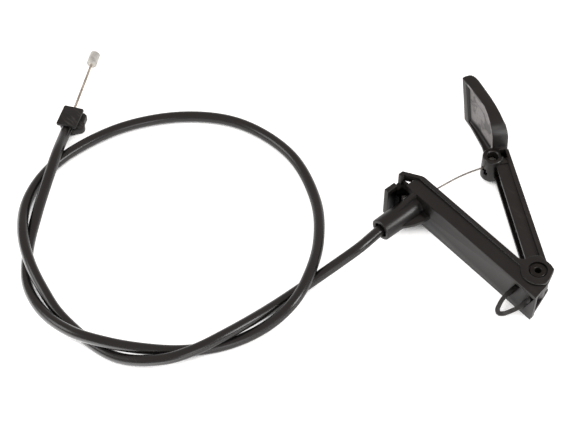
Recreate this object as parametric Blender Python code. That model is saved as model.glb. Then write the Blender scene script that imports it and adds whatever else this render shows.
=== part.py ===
"""Hood release cable: a moulded bracket, the lever that turns in it, a sheathed cable with its fittings.

Metres, +Z up. The bracket lies on its flat side, so the lever's pivot stands upright. X runs along the
bracket towards the pivot, and the bracket's open side faces +Y. The origin is on the side that rests,
a little in from the outer face of the bracket's floor. The lever is built in its own frame: X along the arm
from the pivot, Y towards the bracket, Z as the pivot.
"""

import math

import bmesh
import bpy
from mathutils import Matrix, Vector

MM = 0.001

# Bracket
FLOOR_OUT = -6.0 * MM  # the floor's outer face
CHANNEL_WIDTH = 12.6 * MM  # from there to the rim
CHANNEL_HEIGHT = 25.0 * MM  # from the side that rests to the recessed panel
RIM_RISE = 2.0 * MM
RIM_WIDTH = 3.4 * MM
FLOOR_WALL = 2.5 * MM
LOW_WALL = 2.5 * MM
HIGH_WALL = 2.5 * MM
BRACKET_LEFT = -57.0 * MM
BRACKET_RIGHT = 58.0 * MM
END_WALL = 2.4 * MM
END_WALL_RISE = 0.8 * MM
FLOOR_RIB = 1.8 * MM
FLOOR_RIB_RISE = 3.0 * MM
FLOOR_RIB_PITCH = 24.0 * MM
EDGE_ROUND = 0.5 * MM

# Pivot
PIVOT_X = 45.0 * MM
PIVOT_RISE = 15.2 * MM  # above the floor's outer face
CHEEK_RADIUS = 11.0 * MM
CHEEK_TOP = 9.0 * MM  # the flat above the pivot
CHEEK_FILLET = 4.0 * MM
CHEEK_EDGE = [(1.07, -0.78), (1.02, -0.43), (0.87, 0.04), (0.56, 0.73)]  # from the pivot, in cheek radii
LOW_CHEEK_INSET = 0.8 * MM
LOW_CHEEK_LEAN = 7.7 * MM  # how far the lower cheek's straight end leans back at its top
RIVET_RADIUS = 4.0 * MM
RIVET_BORE_RADIUS = 2.05 * MM
RIVET_HEAD_RADIUS = 5.2 * MM
RIVET_HEAD = 1.2 * MM
RIVET_TAIL = 0.8 * MM
HEAD_RECESS_RADIUS = 6.0 * MM
HEAD_RECESS_DEPTH = 1.8 * MM
TAIL_RECESS_DEPTH = 1.4 * MM

# Cable guide on the bracket's floor
GUIDE_X = -48.0 * MM
GUIDE_RADIUS = 7.5 * MM
GUIDE_LENGTH = 30.2 * MM
GUIDE_BORE_RADIUS = 5.0 * MM
GUIDE_BORE_DEPTH = 20.2 * MM
WIRE_HOLE_RADIUS = 1.8 * MM
GUSSET_THICKNESS = 2.4 * MM
GUSSET_LENGTH = 18.5 * MM
GUSSET_REACH = 6.1 * MM
RIB_THICKNESS = 3.0 * MM
RIB_ASIDE = 0.9 * MM
RIB_LENGTH = 17.5 * MM

# Hook lugs past the left end
LUG_REACH = 9.0 * MM
LUG_WEB = 2.4 * MM
LUG_WEB_TOP = 17.8 * MM
LUG_WEB_FRONT = -10.6 * MM
LUG_WEB_BACK = 0.4 * MM
LOW_WEB_BACK = 2.5 * MM
LOW_LUG_SET = 1.8 * MM  # how far it stands in from the web's end
LOW_LUG_THICKNESS = 3.4 * MM
LOW_LUG_FRONT = -18.2 * MM
LOW_LUG_DROP = 0.5 * MM  # below the recessed panel
LUG_LEG = 2.0 * MM
HIGH_LUG_FRONT = -4.4 * MM
HIGH_LUG_WIDTH = 3.5 * MM
HIGH_LUG_THICKNESS = 2.7 * MM
HIGH_LUG_LOW = 14.0 * MM
LUG_BAND = 6.2 * MM
SKIRT_SHARE = 0.55  # of the band's length

# Lever
OPEN_ANGLE = math.radians(149.0)  # from +X to the arm, as it stands in the photograph
ARM_FRONT = 3.2 * MM  # edge nearest the bracket, at the pivot
ARM_END_FRONT = 2.85 * MM
ARM_BACK = 8.85 * MM
ARM_END_BACK = 7.75 * MM
BACK_PLATE = 3.1 * MM
ARM_HEIGHT = 13.4 * MM
ARM_WALL = 2.0 * MM
BACK_HEIGHT = 16.6 * MM
ARM_LENGTH = 101.0 * MM
ARM_RIB = 1.6 * MM
ARM_RIB_PITCH = 19.0 * MM
HUB_RADIUS = 8.9 * MM
BARREL_ALONG = 96.3 * MM
BARREL_FORWARD = 4.0 * MM
BARREL_RADIUS = 6.7 * MM
SOCKET_RADIUS = 3.5 * MM
SOCKET_FLOOR = 2.0 * MM
PLATFORM_START = 90.4 * MM
PLATFORM_RISE = 2.2 * MM
POCKET_START = 94.6 * MM
POCKET_LENGTH = 6.2 * MM
POCKET_WIDTH = 4.4 * MM
POCKET_WALL = 2.2 * MM
POCKET_DEPTH = 12.0 * MM
WIRE_SLOT = 2.8 * MM
SLOT_SWEEP = (92.0, 134.0)  # degrees round the socket, from the arm
KEY_SWEEP = (118.0, 142.0)
KEY_DROP = 2.6 * MM
PADDLE_START = 99.0 * MM
PADDLE_LENGTH = 50.0 * MM
PADDLE_FORWARD = 11.4 * MM  # how far its tip stands towards the bracket's side
PADDLE_LOW = 0.2 * MM
PADDLE_HIGH = 44.0 * MM
PADDLE_WALL = 2.7 * MM
PADDLE_BACK_WALL = 3.0 * MM
PADDLE_TWIST = math.radians(7.0)
PADDLE_SIDE_ROUND = 2.2 * MM
DISH_ROUND = 2.4 * MM

# The paddle's outline: share of its length, back and front as shares of PADDLE_FORWARD, and how far its
# low and high edges have spread from the arm's to the paddle's own.
PADDLE_STATIONS = [
    (0.0, -0.658, 0.088, 0.0, 0.0),
    (0.08, -0.675, 0.228, 0.3, 0.043),
    (0.116, -0.667, 0.281, 0.5, 0.267),
    (0.152, -0.614, 0.316, 0.7, 0.655),
    (0.19, -0.561, 0.333, 0.85, 0.914),
    (0.23, -0.491, 0.351, 0.95, 1.0),
    (0.32, -0.404, 0.368, 1.0, 1.0),
    (0.44, -0.307, 0.4, 1.0, 1.0),
    (0.58, -0.206, 0.535, 1.0, 1.0),
    (0.74, -0.053, 0.702, 1.0, 1.0),
    (0.82, 0.026, 0.789, 1.0, 1.0),
    (0.888, 0.096, 0.886, 1.0, 1.0),
    (0.946, 0.202, 0.965, 1.0, 1.0),
    (0.974, 0.281, 1.0, 1.0, 1.0),
    (0.988, 0.36, 0.886, 0.995, 0.995),
    (1.0, 0.48, 0.72, 0.98, 0.98),
]
# The dish: share of the paddle's length, and its depth as a share of what the back wall leaves.
DISH_STATIONS = [
    (0.124, 0.3),
    (0.16, 0.75),
    (0.22, 1.0),
    (0.34, 1.0),
    (0.5, 1.0),
    (0.68, 1.0),
    (0.8, 1.0),
    (0.872, 0.88),
    (0.9, 0.5),
]

# Cable
SHEATH_DIAMETER = 7.2 * MM
SHEATH_STEP = 2 * SHEATH_DIAMETER
WIRE_RADIUS = 0.65 * MM
FERRULE_WALL = 1.1 * MM
FERRULE_CAP = 1.4 * MM
FERRULE_LENGTH = 15.5 * MM
LEVER_NIPPLE_RADIUS = 3.2 * MM
LEVER_NIPPLE_LENGTH = 12.0 * MM
END_NIPPLE_RADIUS = 3.5 * MM
END_NIPPLE_LENGTH = 10.2 * MM
END_WIRE_LENGTH = 44.5 * MM
# How far the lever's wire bows aside, at shares of its length.
WIRE_BOW = [(0.12, 1.0), (0.22, 2.2), (0.38, 4.0), (0.54, 4.3), (0.67, 4.1), (0.78, 3.3), (0.89, 1.8)]

# Retaining loop through the floor's two slots
LOOP_THICKNESS = 2.3 * MM
LOOP_WIDTH = 3.6 * MM
LOOP_HEIGHT = 9.0 * MM
LOOP_LEAN = 0.35  # how far its width leans outward where it stands free
SLOT_WIDTH = 3.6 * MM
SLOT_LOW = 5.0 * MM
SLOT_HIGH = 22.0 * MM
SLOT_SLANT = 6.6 * MM
SLOT_ONE_X = 34.7 * MM
SLOT_TWO_X = 46.7 * MM

# Fitting on the cable's far end
BLOCK_PLACE = Vector((-256.8 * MM, -128.5 * MM, 0.0))
BLOCK_ANGLE = math.radians(127.5)
BLOCK_LENGTH = 17.0 * MM
BLOCK_WIDTH = 14.0 * MM
BLOCK_HEIGHT = 9.6 * MM
BLOCK_PLATE = 2.2 * MM
BLOCK_GROOVE = 2.1 * MM
BLOCK_INSET = 4.5 * MM
BLOCK_LEDGE = 2.0 * MM
BLOCK_LOBE_RADIUS = 3.7 * MM
BLOCK_LOBE_ALONG = 6.2 * MM  # from the cable's side
BLOCK_TURN = math.radians(-3.5)  # the fitting sits askew on the cable
BLOCK_ASIDE = -0.6 * MM
CABLE_HEIGHT = 4.6 * MM

GAP = 0.3 * MM  # left between pieces that seat on each other
ROUND_SIDES = 40
SMALL_SIDES = 24
OVERLAP = 0.4 * MM  # how far joined forms run into each other

FLOOR_IN = FLOOR_OUT + FLOOR_WALL
RIM = FLOOR_OUT + CHANNEL_WIDTH
PIVOT_Y = FLOOR_OUT + PIVOT_RISE
RIM_TOP = CHANNEL_HEIGHT + RIM_RISE
INNER_LOW = LOW_WALL
INNER_HIGH = CHANNEL_HEIGHT - HIGH_WALL
MIDDLE = CHANNEL_HEIGHT / 2
HOLE_RADIUS = RIVET_RADIUS + GAP
GUIDE_MOUTH = FLOOR_OUT - GUIDE_LENGTH
GUIDE_SEAT = GUIDE_MOUTH + GUIDE_BORE_DEPTH
HUB_LOW = INNER_LOW + GAP
HUB_HIGH = INNER_HIGH - GAP
BLOCK_ENTRY = -BLOCK_LENGTH / 2 + BLOCK_INSET
SHEATH_END = 1.5 * MM  # in the fitting's own frame

# The sheath's middle line, in millimetres: out of the guide, down to the table, round the loop twice
# over, each strand crossing over and under the other, and up into the fitting.
SHEATH_ROUTE = [
    (-48, -18, 12.5),
    (-48, -36, 12.5),
    (-46.5, -54.5, 12.4),
    (-48.5, -72.5, 8.3),
    (-51, -92.5, 4.2),
    (-51.5, -117, 4.6),
    (-51, -139.5, 8.5),
    (-52, -161, 11.3),
    (-55.5, -181, 11.3),
    (-64, -199.5, 8.9),
    (-87, -219, 4.3),
    (-131.5, -226.5, 4.6),
    (-153.5, -224.5, 8.8),
    (-175.5, -219, 11.4),
    (-196.5, -209, 11.3),
    (-217, -192, 6.8),
    (-230.5, -169, 4),
    (-234.5, -144.5, 4),
    (-229, -104, 4),
    (-209, -66.5, 4),
    (-180, -42.5, 4),
    (-138, -34.5, 4),
    (-98, -47, 4.2),
    (-69.5, -69.5, 8.3),
    (-52.5, -92, 11.6),
    (-43.5, -112.5, 10.5),
    (-43, -135, 5.7),
    (-49.5, -161, 4),
    (-63.5, -185, 4.2),
    (-80, -205.5, 8.4),
    (-96.5, -220.5, 11.7),
    (-116, -231, 11.3),
    (-141.5, -234, 7.4),
    (-167, -227.5, 4.2),
    (-187.5, -212, 4),
    (-205, -192.5, 6.8),
    (-220.5, -172, 11.4),
    (-234.6, -154.4, 11.5),
]

# The retaining loop's middle line outside the floor, in millimetres.
LOOP_ROUTE = [
    (49.7, -2.4, 9.0),
    (50.1, -3.9, 9.0),
    (50.1, -6.2, 9.0),
    (49.6, -8.7, 8.4),
    (48.4, -11.0, 7.0),
    (46.6, -13.9, 5.0),
    (44.4, -17.3, 3.5),
    (42.2, -19.0, 3.3),
    (40.3, -18.2, 4.6),
    (39.4, -16.0, 6.6),
    (38.6, -13.0, 8.2),
    (38.1, -9.4, 9.0),
    (38.0, -6.2, 9.0),
    (38.0, -3.9, 9.0),
    (38.4, -2.4, 9.0),
]


def clear_objects():
    for found in list(bpy.data.objects):
        bpy.data.objects.remove(found, do_unlink=True)


def material(name, colour, roughness, metallic=0.0):
    made = bpy.data.materials.new(name)
    made.use_nodes = True
    shader = made.node_tree.nodes["Principled BSDF"]
    shader.inputs["Base Color"].default_value = (*colour, 1.0)
    shader.inputs["Roughness"].default_value = roughness
    shader.inputs["Metallic"].default_value = metallic
    return made


def place(name, data, finish=None, parent=None):
    made = bpy.data.objects.new(name, data)
    bpy.context.scene.collection.objects.link(made)
    made.parent = parent
    if finish is not None:
        data.materials.append(finish)
    return made


def finish_mesh(name, work):
    bmesh.ops.recalc_face_normals(work, faces=work.faces[:])
    mesh = bpy.data.meshes.new(name)
    work.to_mesh(mesh)
    work.free()
    return mesh


def loft_mesh(name, rings, closed=False):
    """A skin over rings that all have as many points; closed joins the last ring to the first."""
    work = bmesh.new()
    made = [[work.verts.new(point) for point in ring] for ring in rings]
    pairs = list(zip(made, made[1:]))
    if closed:
        pairs.append((made[-1], made[0]))
    for one, two in pairs:
        count = len(one)
        for i in range(count):
            j = (i + 1) % count
            work.faces.new((one[i], one[j], two[j], two[i]))
    if not closed:
        work.faces.new(made[0][::-1])
        work.faces.new(made[-1])
    return finish_mesh(name, work)


def prism_mesh(name, outline, low, high, rounding=0.0):
    """An outline in X and Y raised from low to high, its long edges rounded if asked."""
    rings = [[Vector((x, y, z)) for x, y in outline] for z in (low, high)]
    mesh = loft_mesh(name, rings)
    if rounding:
        work = bmesh.new()
        work.from_mesh(mesh)
        flat = [e for e in work.edges if abs(e.verts[0].co.z - e.verts[1].co.z) < 1e-6]
        bmesh.ops.bevel(
            work, geom=flat, offset=rounding, segments=2, profile=0.5, affect="EDGES", clamp_overlap=True
        )
        bmesh.ops.recalc_face_normals(work, faces=work.faces[:])
        work.to_mesh(mesh)
        work.free()
    return mesh


def turned_mesh(name, profile, sides=ROUND_SIDES, closed=False):
    """Radius and height pairs turned about Z; a closed profile makes a ring."""
    rings = []
    for radius, height in profile:
        ring = []
        for i in range(sides):
            angle = math.tau * i / sides
            ring.append(Vector((radius * math.cos(angle), radius * math.sin(angle), height)))
        rings.append(ring)
    return loft_mesh(name, rings, closed)


def rounded_box(low, high):
    return [(low[0], low[1]), (high[0], low[1]), (high[0], high[1]), (low[0], high[1])]


def arc(centre, radius, start, end, steps):
    """Points round a centre from one angle in degrees to another."""
    points = []
    for i in range(steps + 1):
        angle = math.radians(start + (end - start) * i / steps)
        points.append((centre[0] + radius * math.cos(angle), centre[1] + radius * math.sin(angle)))
    return points


def tool(name, mesh, matrix=None):
    """A form that cuts or joins another, kept out of the model."""
    made = place(name, mesh)
    made.hide_render = True
    made.display_type = "WIRE"
    if matrix is not None:
        made.matrix_world = matrix
    return made


def combine(target, other, operation):
    modifier = target.modifiers.new(other.name, "BOOLEAN")
    modifier.operation = operation
    modifier.solver = "EXACT"
    modifier.object = other


def join(target, other):
    combine(target, other, "UNION")


def cut(target, other):
    combine(target, other, "DIFFERENCE")


def shade_round(mesh, degrees=35.0):
    mesh.shade_smooth()
    mesh.set_sharp_from_angle(angle=math.radians(degrees))


def smooth_path(points, step):
    """Points a step apart on a centripetal curve through the given ones."""
    points = [Vector(point) for point in points]
    ends = [2 * points[0] - points[1], *points, 2 * points[-1] - points[-2]]
    dense = []
    for a, b, c, d in zip(ends, ends[1:], ends[2:], ends[3:]):
        t1 = (b - a).length ** 0.5
        t2 = t1 + (c - b).length ** 0.5
        t3 = t2 + (d - c).length ** 0.5
        for k in range(24):
            t = t1 + (t2 - t1) * k / 24
            p = a.lerp(b, t / t1)
            q = b.lerp(c, (t - t1) / (t2 - t1))
            r = c.lerp(d, (t - t2) / (t3 - t2))
            early = p.lerp(q, t / t2)
            late = q.lerp(r, (t - t1) / (t3 - t1))
            dense.append(early.lerp(late, (t - t1) / (t2 - t1)))
    dense.append(points[-1])
    lengths = [0.0]
    for one, two in zip(dense, dense[1:]):
        lengths.append(lengths[-1] + (two - one).length)
    count = max(2, round(lengths[-1] / step))
    result = []
    k = 0
    for i in range(count + 1):
        wanted = lengths[-1] * i / count
        while k < len(lengths) - 2 and lengths[k + 1] < wanted:
            k += 1
        share = (wanted - lengths[k]) / (lengths[k + 1] - lengths[k])
        result.append(dense[k].lerp(dense[k + 1], min(1.0, share)))
    return result


def tube(name, points, radius, finish, resolution, parent=None):
    """A round cord along the points, with closed ends."""
    curve = bpy.data.curves.new(name, "CURVE")
    curve.dimensions = "3D"
    curve.bevel_depth = radius
    curve.bevel_resolution = resolution
    curve.use_fill_caps = True
    spline = curve.splines.new("POLY")
    spline.points.add(len(points) - 1)
    for point, where in zip(spline.points, points):
        point.co = (*where, 1.0)
    return place(name, curve, finish, parent)


def cheek_outline():
    """The side walls seen along the pivot: a low channel that rises to a round cheek."""
    pivot = Vector((PIVOT_X, PIVOT_Y))
    top = PIVOT_Y + CHEEK_TOP
    drop = PIVOT_Y - RIM
    # The fillet rolls along the rim and the cheek's round side.
    reach = math.sqrt((CHEEK_RADIUS + CHEEK_FILLET) ** 2 - (drop - CHEEK_FILLET) ** 2)
    fillet = (PIVOT_X - reach, RIM + CHEEK_FILLET)
    meet = math.degrees(math.atan2(fillet[1] - PIVOT_Y, fillet[0] - PIVOT_X)) % 360.0
    flat = 180.0 - math.degrees(math.asin(CHEEK_TOP / CHEEK_RADIUS))
    points = [(BRACKET_LEFT, FLOOR_OUT), (BRACKET_RIGHT, FLOOR_OUT)]
    points += [(PIVOT_X + CHEEK_RADIUS * x, PIVOT_Y + CHEEK_RADIUS * y) for x, y in CHEEK_EDGE]
    points.append((PIVOT_X + CHEEK_RADIUS / 4, top))
    points += arc(pivot, CHEEK_RADIUS, flat, meet, 8)
    points += arc(fillet, CHEEK_FILLET, meet - 180.0, -90.0, 4)[1:]
    points += [(BRACKET_LEFT + 4.0 * MM, RIM), (BRACKET_LEFT + 2.0 * MM, RIM - 0.7 * MM)]
    points.append((BRACKET_LEFT, RIM - 2.0 * MM))
    return points


def rim_outline():
    """The raised rim along the open edge and the round boss about the pivot."""
    outline = cheek_outline()
    inner = RIM - RIM_WIDTH
    start = math.degrees(math.asin((inner - PIVOT_Y) / CHEEK_RADIUS))
    low = arc((PIVOT_X, PIVOT_Y), CHEEK_RADIUS, 180.0 - start, 360.0 - 20.0, 12)
    upper = [p for p in outline if p[1] > PIVOT_Y - 4.0 * MM and p[0] > PIVOT_X]
    left = [p for p in outline if p[0] < PIVOT_X and p[1] > inner]
    return [(BRACKET_LEFT, inner)] + low + upper + left


def base_bracket(plastic):
    body = place("base_bracket", prism_mesh("base_bracket", cheek_outline(), 0.0, CHANNEL_HEIGHT), plastic)
    rim = prism_mesh("bracket_rim", rim_outline(), CHANNEL_HEIGHT - OVERLAP, RIM_TOP, EDGE_ROUND)
    join(body, tool("bracket_rim", rim))

    # The channel runs out at the pivot end and keeps a low wall at the other.
    left = BRACKET_LEFT + END_WALL
    low_end = FLOOR_IN + END_WALL_RISE
    beyond = BRACKET_RIGHT + 5.0 * MM
    above = PIVOT_Y + 20.0 * MM
    channel = [(left, FLOOR_IN), (beyond, FLOOR_IN), (beyond, above)]
    channel += [(BRACKET_LEFT - 5.0 * MM, above), (BRACKET_LEFT - 5.0 * MM, low_end), (left, low_end)]
    cut(body, tool("channel_space", prism_mesh("channel_space", channel, INNER_LOW, INNER_HIGH)))

    # The lower cheek ends in a straight line that leans back.
    foot = Vector((BRACKET_RIGHT - LOW_CHEEK_INSET, FLOOR_OUT))
    head = Vector((foot.x - LOW_CHEEK_LEAN, PIVOT_Y + CHEEK_TOP))
    below = foot.lerp(head, -0.1)
    past = foot.lerp(head, 1.3)
    trim = [tuple(below), (beyond + BRACKET_RIGHT, below.y), (beyond + BRACKET_RIGHT, past.y), tuple(past)]
    cut(body, tool("low_cheek_trim", prism_mesh("low_cheek_trim", trim, -LOW_WALL, LOW_WALL + GAP)))

    guide_tube(body)
    hook_lugs(body)
    floor_ribs(body)
    loop_slots(body)
    pivot_holes(body)
    return body


def guide_tube(body):
    """The tube that takes the sheath's end, with a gusset at its side and a thin rib on its top."""
    upright = Matrix.Translation((GUIDE_X, 0.0, MIDDLE)) @ Matrix.Rotation(math.radians(90.0), 4, "X")
    root = -FLOOR_OUT - FLOOR_WALL / 2
    mouth = -GUIDE_MOUTH
    outside = [
        (GUIDE_RADIUS + 0.6 * MM, root),
        (GUIDE_RADIUS + 0.3 * MM, root + 5.0 * MM),
        (GUIDE_RADIUS, mouth - 0.5 * MM),
        (GUIDE_RADIUS - 0.5 * MM, mouth),
    ]
    join(body, tool("guide_outside", turned_mesh("guide_outside", outside), upright))

    side = GUIDE_X + GUIDE_RADIUS
    inside = FLOOR_OUT + FLOOR_WALL / 2
    gusset = [(GUIDE_X, inside), (GUIDE_X, FLOOR_OUT - GUSSET_LENGTH)]
    for i in range(9):
        share = 1.0 - i / 8
        gusset.append((side + GUSSET_REACH * (1.0 - share * share), FLOOR_OUT - GUSSET_LENGTH * share))
    gusset.append((side + GUSSET_REACH, inside))
    thick = GUSSET_THICKNESS / 2
    join(body, tool("guide_gusset", prism_mesh("guide_gusset", gusset, MIDDLE - thick, MIDDLE + thick)))

    top = MIDDLE + GUIDE_RADIUS
    rib_low = MIDDLE + (GUIDE_RADIUS + GUIDE_BORE_RADIUS) / 2
    rib = [
        (inside, rib_low),
        (inside, CHANNEL_HEIGHT - GAP),
        (FLOOR_OUT - 0.6 * MM, CHANNEL_HEIGHT - GAP),
        (FLOOR_OUT - RIB_LENGTH, top - GAP),
        (FLOOR_OUT - RIB_LENGTH, rib_low),
    ]
    half = RIB_THICKNESS / 2
    rings = [[Vector((GUIDE_X - RIB_ASIDE + x, y, z)) for y, z in rib] for x in (-half, half)]
    join(body, tool("guide_rib", loft_mesh("guide_rib", rings)))

    bore = [
        (WIRE_HOLE_RADIUS, -FLOOR_IN - 1.0 * MM),
        (WIRE_HOLE_RADIUS, -GUIDE_SEAT),
        (GUIDE_BORE_RADIUS, -GUIDE_SEAT),
        (GUIDE_BORE_RADIUS, mouth - 0.6 * MM),
        (GUIDE_BORE_RADIUS + 0.8 * MM, mouth + 0.4 * MM),
    ]
    cut(body, tool("guide_bore", turned_mesh("guide_bore", bore, SMALL_SIDES), upright))


def hook_lugs(body):
    """Two lugs on webs past the bracket's end, the higher one tied back to the rim by a band."""
    out = BRACKET_LEFT - LUG_REACH
    seat = BRACKET_LEFT + END_WALL / 3
    clear = BRACKET_LEFT - GAP
    low_end = FLOOR_IN + END_WALL_RISE - GAP
    root = FLOOR_OUT + OVERLAP
    plate = out + LOW_LUG_SET
    high_web = [(seat, root), (seat, low_end), (clear, low_end), (clear, LUG_WEB_BACK), (out, LUG_WEB_BACK)]
    high_web += [(out, HIGH_LUG_FRONT - OVERLAP), (plate, LUG_WEB_FRONT)]
    high_web += [(plate + LOW_LUG_THICKNESS, LUG_WEB_FRONT + 0.4 * MM)]
    high_web += [(BRACKET_LEFT - 1.6 * MM, LUG_WEB_FRONT + 1.2 * MM), (BRACKET_LEFT, FLOOR_OUT - 1.8 * MM)]
    low_web = [(seat, root), (seat, LOW_WEB_BACK), (out, LOW_WEB_BACK)]
    low_web += [(out, HIGH_LUG_FRONT), (plate, LUG_WEB_FRONT), (BRACKET_LEFT, LUG_WEB_FRONT)]
    for name, outline, low in (("high_web", high_web, LUG_WEB_TOP - LUG_WEB), ("low_web", low_web, 0.0)):
        join(body, tool(name, prism_mesh(name, outline, low, low + LUG_WEB)))

    low_back = LUG_WEB_FRONT + OVERLAP * 2
    low_lug = rounded_box((plate, LOW_LUG_FRONT), (plate + LOW_LUG_THICKNESS, low_back))
    low_lug_top = CHANNEL_HEIGHT - LOW_LUG_DROP
    join(body, tool("low_lug", prism_mesh("low_lug", low_lug, 0.0, low_lug_top, EDGE_ROUND)))
    leg = rounded_box((plate + OVERLAP, LUG_WEB_FRONT - OVERLAP), (BRACKET_LEFT - GAP, low_back + LUG_LEG / 2))
    join(body, tool("lug_leg", prism_mesh("lug_leg", leg, LUG_WEB / 2, LUG_WEB_TOP - LUG_WEB + OVERLAP)))

    high_back = HIGH_LUG_FRONT + HIGH_LUG_WIDTH
    inner = out + HIGH_LUG_THICKNESS
    high_lug = rounded_box((out, HIGH_LUG_FRONT), (inner, high_back))
    join(body, tool("high_lug", prism_mesh("high_lug", high_lug, HIGH_LUG_LOW, RIM_TOP - GAP)))

    # The band is deeper where the lever's socket doesn't pass under it.
    front = (Vector((inner, HIGH_LUG_FRONT + 2.2 * MM)), Vector((BRACKET_LEFT + 2.5 * MM, RIM - 3.4 * MM)))
    back = (Vector((out, high_back)), Vector((BRACKET_LEFT + 0.2 * MM, RIM - 1.9 * MM)))
    band = [(out, HIGH_LUG_FRONT), (inner, HIGH_LUG_FRONT), front[0], front[1]]
    band += [(BRACKET_LEFT + 2.5 * MM, RIM - 0.6 * MM), back[1], back[0]]
    join(body, tool("lug_band", prism_mesh("lug_band", band, INNER_HIGH + GAP, RIM_TOP - 0.1 * MM)))
    inset = Vector((0.0, GAP / 2))
    skirt = [(out + GAP / 2, HIGH_LUG_FRONT + GAP / 2), (inner - GAP / 2, HIGH_LUG_FRONT + GAP / 2)]
    skirt += [front[0] + inset, front[0].lerp(front[1], SKIRT_SHARE) + inset]
    skirt += [back[0].lerp(back[1], SKIRT_SHARE) - inset, (out + GAP / 2, high_back - GAP / 2)]
    skirt_top = INNER_HIGH + GAP + OVERLAP
    join(body, tool("band_skirt", prism_mesh("band_skirt", skirt, RIM_TOP - LUG_BAND, skirt_top)))


def floor_ribs(body):
    """Low cross ribs that stiffen the channel's floor."""
    count = 3
    for i in range(count):
        x = (i - 1.4) * FLOOR_RIB_PITCH
        rib = rounded_box((x, FLOOR_IN - OVERLAP), (x + FLOOR_RIB, FLOOR_IN + FLOOR_RIB_RISE))
        name = f"floor_rib_{i}"
        join(body, tool(name, prism_mesh(name, rib, INNER_LOW - OVERLAP, INNER_HIGH + OVERLAP)))


def loop_slots(body):
    """Two slanted slots through the floor for the retaining loop."""
    for name, x in (("slot_one", SLOT_ONE_X), ("slot_two", SLOT_TWO_X)):
        corners = [(x, SLOT_LOW), (x + SLOT_WIDTH, SLOT_LOW)]
        corners += [(x + SLOT_WIDTH + SLOT_SLANT, SLOT_HIGH), (x + SLOT_SLANT, SLOT_HIGH)]
        depths = (FLOOR_OUT - 2.0 * MM, FLOOR_IN + 2.0 * MM)
        rings = [[Vector((a, y, b)) for a, b in corners] for y in depths]
        cut(body, tool(name, loft_mesh(name, rings)))


def pivot_holes(body):
    """The rivet's hole through both cheeks, with a recess for its head and one for its tail."""
    profile = [
        (HEAD_RECESS_RADIUS, -2.0 * MM),
        (HEAD_RECESS_RADIUS, TAIL_RECESS_DEPTH),
        (HOLE_RADIUS, TAIL_RECESS_DEPTH),
        (HOLE_RADIUS, RIM_TOP - HEAD_RECESS_DEPTH),
        (HEAD_RECESS_RADIUS, RIM_TOP - HEAD_RECESS_DEPTH),
        (HEAD_RECESS_RADIUS, RIM_TOP + 2.0 * MM),
    ]
    hole = turned_mesh("pivot_hole", profile)
    cut(body, tool("pivot_hole", hole, Matrix.Translation((PIVOT_X, PIVOT_Y, 0.0))))


def pivot_rivet(steel):
    """A hollow rivet, its head in the upper cheek's recess and its tail turned over in the lower one."""
    head_seat = RIM_TOP - HEAD_RECESS_DEPTH + GAP
    tail_seat = TAIL_RECESS_DEPTH - GAP
    profile = [
        (RIVET_BORE_RADIUS, tail_seat - RIVET_TAIL),
        (RIVET_HEAD_RADIUS, tail_seat - RIVET_TAIL),
        (RIVET_HEAD_RADIUS, tail_seat),
        (RIVET_RADIUS, tail_seat),
        (RIVET_RADIUS, head_seat),
        (RIVET_HEAD_RADIUS, head_seat),
        (RIVET_HEAD_RADIUS, head_seat + RIVET_HEAD - 0.4 * MM),
        (RIVET_HEAD_RADIUS - 0.5 * MM, head_seat + RIVET_HEAD),
        (RIVET_BORE_RADIUS + 0.6 * MM, head_seat + RIVET_HEAD),
        (RIVET_BORE_RADIUS, head_seat + RIVET_HEAD - 0.5 * MM),
    ]
    mesh = turned_mesh("pivot_rivet", profile, ROUND_SIDES, closed=True)
    shade_round(mesh)
    made = place("pivot_rivet", mesh, steel)
    made.location = (PIVOT_X, PIVOT_Y, 0.0)
    return made


def paddle_section(share):
    """The finger paddle's section at a share of its length: back, front, low and high edges."""
    found = PADDLE_STATIONS[-1]
    for one, two in zip(PADDLE_STATIONS, PADDLE_STATIONS[1:]):
        if one[0] <= share <= two[0]:
            between = (share - one[0]) / (two[0] - one[0])
            found = [a + (b - a) * between for a, b in zip(one, two)]
            break
    root_low = MIDDLE - BACK_HEIGHT / 2
    root_high = MIDDLE + BACK_HEIGHT / 2
    low = root_low + (PADDLE_LOW - root_low) * found[3]
    high = root_high + (PADDLE_HIGH - root_high) * found[4]
    return found[1] * PADDLE_FORWARD, found[2] * PADDLE_FORWARD, low, high


def paddle_ring(share, back, front, low, high, corner):
    """A rounded section, twisted about the paddle's middle as the tip is neared."""
    along = PADDLE_START + share * PADDLE_LENGTH
    twist = PADDLE_TWIST * min(1.0, share * 1.1)
    middle_y = (back + front) / 2
    middle_z = PADDLE_HIGH / 2
    small = min(corner, (front - back) * 0.3)
    crisp = small * 0.25
    points = []
    for centre, radius, start in (
        ((back + small, low + small), small, 180.0),
        ((front - crisp, low + crisp), crisp, 270.0),
        ((front - crisp, high - crisp), crisp, 0.0),
        ((back + small, high - small), small, 90.0),
    ):
        points += arc(centre, radius, start, start + 90.0, 3)
    ring = []
    for y, z in points:
        dy = y - middle_y
        dz = z - middle_z
        turned_y = middle_y + dy * math.cos(twist) + dz * math.sin(twist)
        turned_z = middle_z + dz * math.cos(twist) - dy * math.sin(twist)
        ring.append(Vector((along, turned_y, turned_z)))
    return ring


def paddle_mesh():
    rings = []
    for station in PADDLE_STATIONS:
        rings.append(paddle_ring(station[0], *paddle_section(station[0]), PADDLE_SIDE_ROUND))
    return loft_mesh("paddle", rings)


def dish_mesh():
    """The hollow that the fingers pull in, as deep as the side walls leave it."""
    rings = []
    for share, depth in DISH_STATIONS:
        back, front, low, high = paddle_section(share)
        floor = front - (front - back - PADDLE_BACK_WALL) * depth
        beyond = front + PADDLE_FORWARD / 2
        rings.append(paddle_ring(share, floor, beyond, low + PADDLE_WALL, high - PADDLE_WALL, DISH_ROUND))
    return loft_mesh("dish", rings)


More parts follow.
